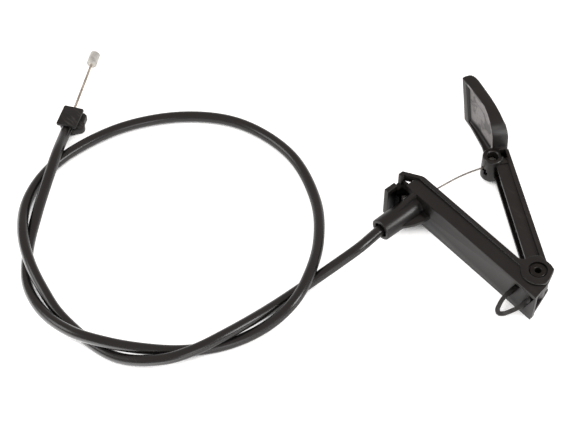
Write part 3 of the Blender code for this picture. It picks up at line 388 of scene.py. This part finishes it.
def pale_dish_patch():
    """A pale, mottled patch on the forward faces of the paddle, within a reach along the lever and above a
    height.
    """
    tree, given, out = shader_group(
        "pale_dish_patch",
        [
            ("Vector", VECTOR, (0.0, 0.0, 0.0)),
            ("Normal", VECTOR, (0.0, 0.0, 1.0)),
            ("Start", FLOAT, PALE_PATCH_REACH[0]),
            ("End", FLOAT, PALE_PATCH_REACH[1]),
            ("Floor", FLOAT, PALE_PATCH_FLOOR),
            ("Smudge Scale", FLOAT, 95.0),
            ("Speck Scale", FLOAT, 620.0),
        ],
        [("Mask", FLOAT)],
    )
    on_lever = tree.add(
        "ShaderNodeMapping",
        {"Vector": given["Vector"], "Location": tuple(PIVOT), "Rotation": (0.0, 0.0, LEVER_ANGLE)},
        vector_type="TEXTURE",
    )
    spot = tree.add("ShaderNodeSeparateXYZ", {"Vector": on_lever.outputs["Vector"]}).outputs
    facing = tree.add(
        "ShaderNodeVectorMath", {0: given["Normal"], 1: tuple(LEVER_FORWARD)}, operation="DOT_PRODUCT"
    )
    front_from = (0.72, 0.93)
    smudge_edge = (0.40, 0.49)
    speck_edge = (0.34, 0.52)
    front = tree.remap(facing.outputs["Value"], *front_from, smooth=True)
    past_start = tree.reckon("GREATER_THAN", spot["X"], given["Start"])
    before_end = tree.reckon("LESS_THAN", spot["X"], given["End"])
    within = tree.reckon("MULTIPLY", past_start, before_end)
    smudge = tree.noise(given["Vector"], given["Smudge Scale"], detail=4.0, distortion=0.8)
    speck = tree.noise(given["Vector"], given["Speck Scale"], detail=3.0)
    grit = tree.remap(speck, *speck_edge, low=0.7)
    full = tree.reckon("ADD", given["Floor"], PALE_PATCH_FADE)
    above_floor = tree.remap(spot["Z"], given["Floor"], full, smooth=True)
    mask = tree.remap(smudge, *smudge_edge, low=0.30, high=0.95)
    for share in (above_floor, grit, within, front):
        mask = tree.reckon("MULTIPLY", mask, share)
    tree.link(mask, out["Mask"])
    return tree.tree


def hollow_painted_shade():
    """Where painted shade darkens the bracket's hollows beside the guide tube."""
    tree, given, out = shader_group(
        "hollow_painted_shade",
        [("Vector", VECTOR, (0.0, 0.0, 0.0)), ("Fade", FLOAT, HOLLOW_SHADE_FADE)],
        [("Mask", FLOAT)],
    )
    fade = tree.reckon("MULTIPLY", given["Fade"], -1.0)
    mask = None
    # each box is a hollow painted as shade, soft at its edges
    for low, high, shade_strength in SHADED_HOLLOWS:
        middle = tuple((a + b) / 2 * MM for a, b in zip(low, high))
        half = tuple((b - a) / 2 * MM for a, b in zip(low, high))
        away = tree.add("ShaderNodeVectorMath", {0: given["Vector"], 1: middle}, operation="SUBTRACT")
        apart = tree.add("ShaderNodeVectorMath", {0: away.outputs["Vector"]}, operation="ABSOLUTE")
        past = tree.add("ShaderNodeVectorMath", {0: apart.outputs["Vector"], 1: half}, operation="SUBTRACT")
        sides = tree.add("ShaderNodeSeparateXYZ", {"Vector": past.outputs["Vector"]}).outputs
        outside = tree.reckon("MAXIMUM", tree.reckon("MAXIMUM", sides["X"], sides["Y"]), sides["Z"])
        inside = tree.remap(outside, fade, 0.0, low=shade_strength, high=0.0, smooth=True)
        mask = inside if mask is None else tree.reckon("MAXIMUM", mask, inside)
    tree.link(mask, out["Mask"])
    return tree.tree


def strand_tree():
    """Geometry Nodes: strands laid round a wire's middle line, one of them straight down its core."""
    group = bpy.data.node_groups.new("twisted_strands", "GeometryNodeTree")
    face = group.interface
    face.new_socket("Geometry", in_out="INPUT", socket_type="NodeSocketGeometry")
    for label, kind, value in (
        ("Strands", "NodeSocketInt", OUTER_STRANDS),
        ("Wire Radius", FLOAT, LEVER_WIRE_RADIUS),
        ("Lay", FLOAT, WIRE_LAY),
    ):
        face.new_socket(label, in_out="INPUT", socket_type=kind).default_value = value
    face.new_socket("Finish", in_out="INPUT", socket_type="NodeSocketMaterial")
    face.new_socket("Geometry", in_out="OUTPUT", socket_type="NodeSocketGeometry")
    tree = Tree(group)
    given = tree.add("NodeGroupInput").outputs
    strand_radius = tree.reckon("DIVIDE", given["Wire Radius"], 3.0)
    orbit = tree.reckon("MULTIPLY", strand_radius, 2.0)
    line = tree.add("GeometryNodeMeshToCurve", {"Mesh": given["Geometry"]}).outputs["Curve"]
    copies = tree.add(
        "GeometryNodeDuplicateElements", {"Geometry": line, "Amount": given["Strands"]}, domain="SPLINE"
    )
    share = tree.reckon("DIVIDE", copies.outputs["Duplicate Index"], given["Strands"])
    start = tree.reckon("MULTIPLY", share, math.tau)
    run = tree.add("GeometryNodeSplineParameter").outputs["Length"]
    turns = tree.reckon("DIVIDE", run, given["Lay"])
    wound = tree.reckon("MULTIPLY_ADD", turns, math.tau, start)
    normal = tree.add("GeometryNodeInputNormal").outputs[0]
    tangent = tree.add("GeometryNodeInputTangent").outputs[0]
    turned = tree.add(
        "ShaderNodeVectorRotate",
        {"Vector": normal, "Axis": tangent, "Angle": wound},
        rotation_type="AXIS_ANGLE",
    )
    offset = tree.add(
        "ShaderNodeVectorMath", {0: turned.outputs["Vector"], "Scale": orbit}, operation="SCALE"
    )
    laid = tree.add(
        "GeometryNodeSetPosition",
        {"Geometry": copies.outputs["Geometry"], "Offset": offset.outputs["Vector"]},
    )
    profile = tree.add(
        "GeometryNodeCurvePrimitiveCircle", {"Resolution": STRAND_SIDES, "Radius": strand_radius}
    )
    both = tree.add("GeometryNodeJoinGeometry")
    for curve in (laid.outputs["Geometry"], line):
        skin = tree.add(
            "GeometryNodeCurveToMesh",
            {"Curve": curve, "Profile Curve": profile.outputs["Curve"], "Fill Caps": True},
        )
        tree.link(skin.outputs["Mesh"], both.inputs["Geometry"])
    real = tree.add("GeometryNodeRealizeInstances", {"Geometry": both.outputs["Geometry"]})
    dressed = tree.add(
        "GeometryNodeSetMaterial", {"Geometry": real.outputs["Geometry"], "Material": given["Finish"]}
    )
    out = tree.add("NodeGroupOutput")
    tree.link(dressed.outputs["Geometry"], out.inputs["Geometry"])
    return group


GROUPS = {
    "moulded_grain": moulded_grain(),
    "handling_marks": handling_marks(),
    "pale_dish_patch": pale_dish_patch(),
    "hollow_painted_shade": hollow_painted_shade(),
    "twisted_strands": strand_tree(),
}


def linear(value):
    """A value from 0 to 255 as the photograph shows it, as the linear value that a shader takes."""
    share = value / 255.0
    return share / 12.92 if share <= 0.04045 else ((share + 0.055) / 1.055) ** 2.4


def tone(red, green, blue):
    """A shader's colour from values of 0 to 255."""
    return (linear(red), linear(green), linear(blue), 1.0)


def worn_surface(name, colour, mark, roughness, bump, drift, marks, ior=1.5, grain=2600.0, flow=42.0):
    """A finish with its own shader, fed by the grain and the handling marks."""
    made = bpy.data.materials.new(name)
    made.use_nodes = True
    tree = Tree(made.node_tree)
    shader = made.node_tree.nodes["Principled BSDF"].inputs
    where = tree.add("ShaderNodeTexCoord").outputs["Object"]
    skin = tree.group(
        "moulded_grain",
        {
            "Vector": where,
            "Grain Scale": grain,
            "Flow Scale": flow,
            "Base Color": colour,
            "Drift": drift,
            "Base Roughness": roughness,
        },
    )
    wear = tree.group(
        "handling_marks",
        {
            "Vector": where,
            "Amount": marks,
            "Color": skin["Color"],
            "Mark Color": mark,
            "Roughness": skin["Roughness"],
        },
    )
    raised = tree.add("ShaderNodeBump", {"Strength": bump, "Distance": BUMP_HEIGHT, "Height": skin["Height"]})
    tree.link(wear["Color"], shader["Base Color"])
    tree.link(wear["Roughness"], shader["Roughness"])
    tree.link(raised.outputs["Normal"], shader["Normal"])
    shader["IOR"].default_value = ior
    return made


def open_finish(made):
    """A finish to lay something over: its tree, its shader's sockets and the colour that it has so far."""
    shader = made.node_tree.nodes["Principled BSDF"].inputs
    return Tree(made.node_tree), shader, shader["Base Color"].links[0].from_socket


def black_nylon():
    """The bracket's nylon, with painted shade in the hollows beside the guide tube: black and metallic there,
    so that they reflect nothing.
    """
    made = worn_surface(
        "black_nylon",
        (0.0085, 0.0072, 0.0065, 1.0),
        tone(88, 84, 80),
        roughness=0.33,
        bump=0.06,
        drift=0.18,
        marks=0.25,
        ior=1.58,
    )
    tree, shader, under = open_finish(made)
    where = tree.add("ShaderNodeTexCoord").outputs
    shade_mask = tree.group("hollow_painted_shade", {"Vector": where["Object"]})
    # painted shade: black colour and full metal in the hollows, so that they neither scatter nor reflect
    # light
    tree.link(tree.mix(shade_mask["Mask"], under, HOLLOW_SHADE_BLACK), shader["Base Color"])
    tree.link(shade_mask["Mask"], shader["Metallic"])
    return made


def lever_nylon():
    """The lever's nylon, with a pale mottled patch on the paddle's forward faces."""
    made = worn_surface(
        "lever_nylon",
        (0.0090, 0.0072, 0.0065, 1.0),
        tone(88, 84, 80),
        roughness=0.33,
        bump=0.06,
        drift=0.18,
        marks=0.25,
        ior=1.58,
    )
    tree, shader, under = open_finish(made)
    where = tree.add("ShaderNodeTexCoord").outputs
    pale_patch = tree.group("pale_dish_patch", {"Vector": where["Object"], "Normal": where["Normal"]})
    # a paler colour on the paddle's forward faces, mottled by noise
    tree.link(tree.mix(pale_patch["Mask"], under, tone(166, 163, 163)), shader["Base Color"])
    return made


def black_clip_plastic():
    """The end fitting's plastic, more scuffed than the rest."""
    return worn_surface(
        "black_clip_plastic",
        (0.0090, 0.0084, 0.0080, 1.0),
        tone(118, 116, 114),
        roughness=0.34,
        bump=0.10,
        drift=0.30,
        marks=0.6,
        ior=1.58,
    )


def sheath_jacket():
    """The sheath's smooth black jacket."""
    return worn_surface(
        "sheath_jacket",
        (0.0100, 0.0090, 0.0085, 1.0),
        tone(70, 70, 70),
        roughness=0.26,
        bump=0.03,
        drift=0.10,
        marks=0.15,
        ior=1.64,
    )


def strap_plastic():
    """The strap's dull, greyer plastic."""
    return worn_surface(
        "strap_plastic",
        (0.0420, 0.0410, 0.0400, 1.0),
        tone(120, 120, 120),
        roughness=0.42,
        bump=0.03,
        drift=0.1,
        marks=0.3,
    )


def bare_metal(name, colour, mark, roughness, metallic=1.0, marks=0.6, bump=0.15, grain=900.0):
    """Wire, rivet or cast metal with a cloudy, slightly tarnished surface."""
    made = worn_surface(name, colour, mark, roughness, bump, drift=0.35, marks=marks, grain=grain, flow=160.0)
    made.node_tree.nodes["Principled BSDF"].inputs["Metallic"].default_value = metallic
    return made


def dark_rivet_steel():
    """The blackened steel of the rivet and of the sheath's cap."""
    return bare_metal("dark_rivet_steel", tone(40, 37, 35), tone(96, 90, 84), roughness=0.38, metallic=0.5)


def wire_steel():
    """The brownish steel of the wire past the end fitting."""
    return bare_metal("wire_steel", tone(196, 186, 174), tone(138, 124, 110), roughness=0.42)


def bright_wire_steel():
    """The smoother steel of the lever's wire."""
    return bare_metal("bright_wire_steel", tone(176, 170, 162), tone(126, 116, 106), roughness=0.38)


def cast_zinc():
    """The grey cast metal of the nipple in the lever's socket."""
    return bare_metal(
        "cast_zinc",
        tone(150, 150, 148),
        tone(96, 96, 94),
        roughness=0.50,
        metallic=0.75,
        marks=0.4,
        bump=0.3,
        grain=1400.0,
    )


def pale_cast_zinc():
    """The pale, dull cast metal of the far nipple, with darker marks."""
    return bare_metal(
        "pale_cast_zinc",
        tone(232, 232, 226),
        tone(170, 169, 162),
        roughness=0.50,
        metallic=0.25,
        marks=0.7,
        bump=0.4,
        grain=1400.0,
    )


def place(name, mesh, finish, body=None):
    """A new object in the scene, with one finish, on a body if one is named."""
    made = bpy.data.objects.new(name, mesh)
    bpy.context.scene.collection.objects.link(made)
    if finish is not None:
        mesh.materials.clear()
        mesh.materials.append(finish)
    if body:
        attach(made, body)
    return made


def evaluated_mesh(made, name):
    """The object's mesh with its modifiers applied; the object itself goes."""
    bpy.context.view_layer.update()
    graph = bpy.context.evaluated_depsgraph_get()
    mesh = bpy.data.meshes.new_from_object(made.evaluated_get(graph), depsgraph=graph)
    mesh.name = name
    bpy.data.objects.remove(made, do_unlink=True)
    return mesh


def between(table, place):
    """The values that a table of rising places gives at one place, or none outside it."""
    for one, two in zip(table, table[1:]):
        if one[0] <= place < two[0]:
            share = (place - one[0]) / (two[0] - one[0])
            return [low + (high - low) * share for low, high in zip(one[1:], two[1:])]
    return None


def dish_move(offset, run):
    """How far a point of the paddle's dish comes forward, and slides at the dish's end."""
    move = Vector()
    face = between(PADDLE_FACE, run)
    depth = between(DISH_DEPTH, run)
    if face is None or depth is None:
        return move
    # The section's own frame, before its twist.
    twist = PADDLE_TWIST * min(1.0, max(0.0, (run - PADDLE_START) / PADDLE_LENGTH) * TWIST_HASTE)
    side = offset.dot(LEVER_FORWARD) - (face[0] - PADDLE_HALF)
    height = offset.z - PADDLE_MIDDLE
    level = PADDLE_MIDDLE + height * math.cos(twist) + side * math.sin(twist)
    deep = PADDLE_HALF - side * math.cos(twist) + height * math.sin(twist)
    if not DISH_SIDES[0] < level < DISH_SIDES[1] or deep >= DISH_BEHIND[1]:
        return move
    if deep > DISH_BEHIND[0]:
        move += (LEVER_FORWARD * math.cos(twist) - UP * math.sin(twist)) * deep * (1.0 - depth[0])
    if DISH_END[0] < run < DISH_END[1]:
        move += (LEVER_ALONG + LEVER_FORWARD * DISH_END_LEAN) * DISH_END_SLIDE
    return move


def shoulder_move(offset, run):
    """How far a point of the lever's shoulder slides and lifts."""
    moved = between(SHOULDER, run)
    share = min(1.0, (offset.z - SHOULDER_FOOT) / SHOULDER_SPREAD)
    if moved is None or share <= 0.0:
        return Vector()
    return (LEVER_ALONG * moved[0] + UP * moved[1]) * share


def hub_move(offset, run):
    """How far a point of the hub's rim is drawn in behind the pivot."""
    flat = Vector((offset.x, offset.y, 0.0))
    if run >= 0.0 or flat.length <= HUB_RIM:
        return Vector()
    return flat * (HUB_SHRINK - 1.0) * min(1.0, -run / HUB_FADE)


def lever_reshaped(work):
    """Gives the lever a full, round shoulder, a dish that grows shallow to its tip, and a slim hub."""
    for vert in work.verts:
        offset = (vert.co - PIVOT) / MM
        run = offset.dot(LEVER_ALONG)
        for move in (dish_move, shoulder_move, hub_move):
            vert.co += move(offset, run) * MM


def strap_fattened(work):
    """Makes the thin strap as wide and thick as the photograph shows it."""
    work.normal_update()
    for vert, normal in [(vert, vert.normal.copy()) for vert in work.verts]:
        vert.co += normal * STRAP_SWELL


def softened(node, name, finish, body, width, reshape=None):
    """A copy of a CAD solid with its moulded edges rounded, which then stands for it."""
    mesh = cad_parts[node].data.copy()
    work = bmesh.new()
    work.from_mesh(mesh)
    bmesh.ops.remove_doubles(work, verts=work.verts[:], dist=SAME_POINT)
    bmesh.ops.dissolve_limit(
        work, angle_limit=ONE_FACE_WITHIN, verts=work.verts[:], edges=work.edges[:]
    )
    if reshape:
        reshape(work)
    work.to_mesh(mesh)
    work.free()
    made = place(name, mesh, finish)
    bevel = made.modifiers.new("edge_round", "BEVEL")
    bevel.width = width
    bevel.segments = ROUND_SEGMENTS
    bevel.limit_method = "ANGLE"
    bevel.angle_limit = ROUNDED_FROM
    bevel.use_clamp_overlap = True
    done = evaluated_mesh(made, name)
    done.shade_smooth()
    done.set_sharp_from_angle(angle=SMOOTH_UP_TO)
    result = place(name, done, finish, body)
    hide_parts(node)
    return result


def smooth_path(points, step):
    """Points a step apart on a centripetal curve through the given ones."""
    shares = 24
    points = [Vector(point) for point in points]
    ends = [2 * points[0] - points[1], *points, 2 * points[-1] - points[-2]]
    dense = []
    for a, b, c, d in zip(ends, ends[1:], ends[2:], ends[3:]):
        t1 = (b - a).length ** 0.5
        t2 = t1 + (c - b).length ** 0.5
        t3 = t2 + (d - c).length ** 0.5
        for k in range(shares):
            t = t1 + (t2 - t1) * k / shares
            p = a.lerp(b, t / t1)
            q = b.lerp(c, (t - t1) / (t2 - t1))
            r = c.lerp(d, (t - t2) / (t3 - t2))
            early = p.lerp(q, t / t2)
            late = q.lerp(r, (t - t1) / (t3 - t1))
            dense.append(early.lerp(late, (t - t1) / (t2 - t1)))
    dense.append(points[-1])
    lengths = [0.0]
    for one, two in zip(dense, dense[1:]):
        lengths.append(lengths[-1] + (two - one).length)
    count = max(2, round(lengths[-1] / step))
    result = []
    k = 0
    for i in range(count + 1):
        wanted = lengths[-1] * i / count
        while k < len(lengths) - 2 and lengths[k + 1] < wanted:
            k += 1
        share = (wanted - lengths[k]) / (lengths[k + 1] - lengths[k])
        result.append(dense[k].lerp(dense[k + 1], min(1.0, share)))
    return result


def fitting_point(along, height=CABLE_HEIGHT):
    """A point on the cable's line in the end fitting, in the bracket's frame."""
    return FITTING_PLACE + Matrix.Rotation(CABLE_ANGLE, 3, "Z") @ Vector((along, 0.0, height))


def sheath_points():
    """The sheath's middle line, as the points that its tube is made on."""
    route = [Vector(point) * MM for point in SHEATH_ROUTE]
    route[0] = SHEATH_START
    route.append(fitting_point(-FITTING_LENGTH / 2 - SHEATH_STRAIGHT))
    route.append(fitting_point(SHEATH_END))
    return smooth_path(route, SHEATH_STEP)


def sheath_tube(points, radius, finish):
    """The sheath as one smooth tube with closed ends."""
    work = bmesh.new()
    rings = []
    side = Vector((1.0, 0.0, 0.0))
    for i, where in enumerate(points):
        before = points[max(0, i - 1)]
        after = points[min(len(points) - 1, i + 1)]
        tangent = (after - before).normalized()
        side = (side - tangent * side.dot(tangent)).normalized()
        up = tangent.cross(side)
        ring = []
        for k in range(SHEATH_SIDES):
            angle = math.tau * k / SHEATH_SIDES
            ring.append(work.verts.new(where + (side * math.cos(angle) + up * math.sin(angle)) * radius))
        rings.append(ring)
    for one, two in zip(rings, rings[1:]):
        for k in range(SHEATH_SIDES):
            j = (k + 1) % SHEATH_SIDES
            work.faces.new((one[k], one[j], two[j], two[k]))
    work.faces.new(rings[0][::-1])
    work.faces.new(rings[-1])
    bmesh.ops.recalc_face_normals(work, faces=work.faces[:])
    mesh = bpy.data.meshes.new("sheath_cover")
    work.to_mesh(mesh)
    work.free()
    mesh.shade_smooth()
    mesh.set_sharp_from_angle(angle=SHEATH_SMOOTH)
    return place("sheath_cover", mesh, finish, "base")


def set_inputs(modifier, values):
    """Sets a Geometry Nodes modifier's inputs, each by the identifier of the socket with its name."""
    for item in modifier.node_group.interface.items_tree:
        if item.item_type == "SOCKET" and item.in_out == "INPUT" and item.name in values:
            modifier[item.identifier] = values[item.name]


def stranded_wire(name, points, finish, node, radius):
    """A bare wire rope along the points, as its twisted strands."""
    line = bpy.data.meshes.new(name)
    line.from_pydata(points, [(i, i + 1) for i in range(len(points) - 1)], [])
    made = place(name, line, None)
    strands = made.modifiers.new("strands", "NODES")
    strands.node_group = GROUPS["twisted_strands"]
    set_inputs(
        strands,
        {"Strands": OUTER_STRANDS, "Wire Radius": radius, "Lay": WIRE_LAY, "Finish": finish},
    )
    mesh = evaluated_mesh(made, name)
    mesh.shade_smooth()
    result = place(name, mesh, finish)
    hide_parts(node)
    return result


def lever_wire(finish):
    """The bowed wire from the guide tube to the nipple in the lever's socket."""
    path = [LEVER_WIRE_START]
    for share, aside in LEVER_WIRE_BOW:
        path.append(LEVER_WIRE_START.lerp(SOCKET, share) - Vector((aside * MM, 0.0, 0.0)))
    heading = (SOCKET - path[-1]).normalized()
    end = SOCKET - heading * LEVER_WIRE_SHORT
    path.append(end)
    points = smooth_path(path, WIRE_STEP)
    wire = stranded_wire("lever_strands", points, finish, "lever_wire", LEVER_WIRE_RADIUS)
    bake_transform(wire)


def end_wire(finish):
    """The straight wire from the end fitting to the cast nipple."""
    start = fitting_point(END_WIRE_START)
    reach = FITTING_LENGTH / 2 + END_WIRE_LENGTH
    end = fitting_point(reach - END_WIRE_SHORT, END_WIRE_HEIGHT)
    points = smooth_path([start, start.lerp(end, 0.5), end], WIRE_STEP)
    far = stranded_wire("end_strands", points, finish, "end_wire", END_WIRE_RADIUS)
    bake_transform(far)
    return far


def soft_room():
    """An even room: white to the camera, pale walls and a dim ceiling to everything else."""
    scene = bpy.context.scene
    scene.view_settings.view_transform = "Standard"
    world = bpy.data.worlds.new("soft_room")
    scene.world = world
    world.use_nodes = True
    room = Tree(world.node_tree)
    background = world.node_tree.nodes["Background"]
    rays = room.add("ShaderNodeLightPath")
    heading = room.add("ShaderNodeTexCoord")
    parts = room.add("ShaderNodeSeparateXYZ", {"Vector": heading.outputs["Generated"]})
    climb = room.remap(parts.outputs["Z"], *CEILING_CLIMB, smooth=True)
    sweep = room.mix(climb, PALE_WALLS, DIM_CEILING)
    room.link(room.mix(rays.outputs["Is Camera Ray"], sweep, WHITE), background.inputs["Color"])
    background.inputs["Strength"].default_value = 1.0


def table_finish():
    """White paper that keeps a faint shadow, with painted shade where the sheath shuts it in, and a painted
    pool of light that glossy rays see brighter in front and to the right.
    """
    finish = bpy.data.materials.new("white_table")
    finish.use_nodes = True
    table = Tree(finish.node_tree)
    shader = finish.node_tree.nodes["Principled BSDF"]
    shader.inputs["Roughness"].default_value = 0.9
    shader.inputs["Specular IOR Level"].default_value = 0.1
    rays = table.add("ShaderNodeLightPath").outputs
    sky = table.add("ShaderNodeAmbientOcclusion", {"Distance": SHUT_IN_REACH}, samples=12)
    lit = table.remap(sky.outputs["AO"], *SHUT_IN_SKY)
    # painted shade: the table's colour goes dark where the sheath shuts it in
    table.link(table.mix(lit, SHUT_IN_PAINTED_SHADE, TABLE_PAPER), shader.inputs["Base Color"])
    # painted shade also in the glow that the camera sees
    seen = table.reckon("MULTIPLY", rays["Is Camera Ray"], table.reckon("MULTIPLY", lit, TABLE_GLOW))
    where = table.add("ShaderNodeTexCoord").outputs["Object"]
    spot = table.add("ShaderNodeSeparateXYZ", {"Vector": where}).outputs
    # painted pool of light: the table glows brighter to glossy rays in front and to the right
    front = table.remap(spot["Y"], FRONT_POOL[1], FRONT_POOL[0], FRONT_GLOW, MIRRORED_GLOW, smooth=True)
    right = table.remap(spot["X"], *RIGHT_POOL, MIRRORED_GLOW, FRONT_GLOW, smooth=True)
    mirrored = table.reckon("MAXIMUM", front, right)
    strength = table.reckon("MULTIPLY_ADD", rays["Is Glossy Ray"], mirrored, seen)
    glow = table.add("ShaderNodeEmission", {"Color": WHITE, "Strength": strength})
    both = table.add("ShaderNodeAddShader", {0: shader.outputs[0], 1: glow.outputs[0]})
    table.link(both.outputs[0], finish.node_tree.nodes["Material Output"].inputs["Surface"])
    return finish


def white_table():
    """The table that everything lies on."""
    work = bmesh.new()
    bmesh.ops.create_grid(work, x_segments=1, y_segments=1, size=TABLE_HALF)
    mesh = bpy.data.meshes.new("white_table")
    work.to_mesh(mesh)
    work.free()
    floor = place("white_table", mesh, table_finish())
    floor.location = TABLE_PLACE


def softboxes():
    """The three soft lamps."""
    for name, where, aim, size, power in SOFTBOXES:
        data = bpy.data.lights.new(name, "AREA")
        data.shape = "DISK"
        data.size = size
        data.energy = power
        lamp = bpy.data.objects.new(name, data)
        bpy.context.scene.collection.objects.link(lamp)
        lamp.location = where
        lamp.rotation_euler = (Vector(aim) - Vector(where)).to_track_quat("-Z", "Y").to_euler()


def photo_camera():
    """The photograph's view: a long lens, looking down on the table at 53 degrees."""
    data = bpy.data.cameras.new("photo_camera")
    data.sensor_width = SENSOR_WIDTH
    data.lens = PHOTO_FOCUS / PHOTO_WIDTH * SENSOR_WIDTH
    camera = bpy.data.objects.new("photo_camera", data)
    bpy.context.scene.collection.objects.link(camera)
    camera.location = CAMERA_PLACE
    aim = Vector(CAMERA_AIM) - camera.location
    camera.rotation_euler = aim.to_track_quat("-Z", "Y").to_euler()
    bpy.context.scene.camera = camera


def main():
    """Dresses every solid of the part and sets up the studio."""
    photo_camera()
    soft_room()
    white_table()
    softboxes()

    dark_steel = dark_rivet_steel()
    softened("base_bracket", "bracket_moulding", black_nylon(), "base", BRACKET_ROUND)
    softened("lever", "lever_moulding", lever_nylon(), "lever", LEVER_ROUND, lever_reshaped)
    softened("pivot_rivet", "rivet_tube", dark_steel, "base", SMALL_ROUND)
    softened("retaining_loop", "strap_loop", strap_plastic(), "base", STRAP_ROUND, strap_fattened)
    softened("lever_nipple", "cross_nipple", cast_zinc(), "lever_nipple", CROSS_NIPPLE_ROUND)
    softened("guide_ferrule", "sheath_cap", dark_steel, "base", SMALL_ROUND)
    block = softened("end_block", "clip_fitting", black_clip_plastic(), "base", FITTING_ROUND)
    nipple = softened("end_nipple", "cast_nipple", pale_cast_zinc(), "wire_end", SMALL_ROUND)

    points = sheath_points()
    cover = sheath_tube(points, SHEATH_DIAMETER / 2, sheath_jacket())
    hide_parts("sheath")
    lever_wire(bright_wire_steel())
    far = end_wire(wire_steel())


main()
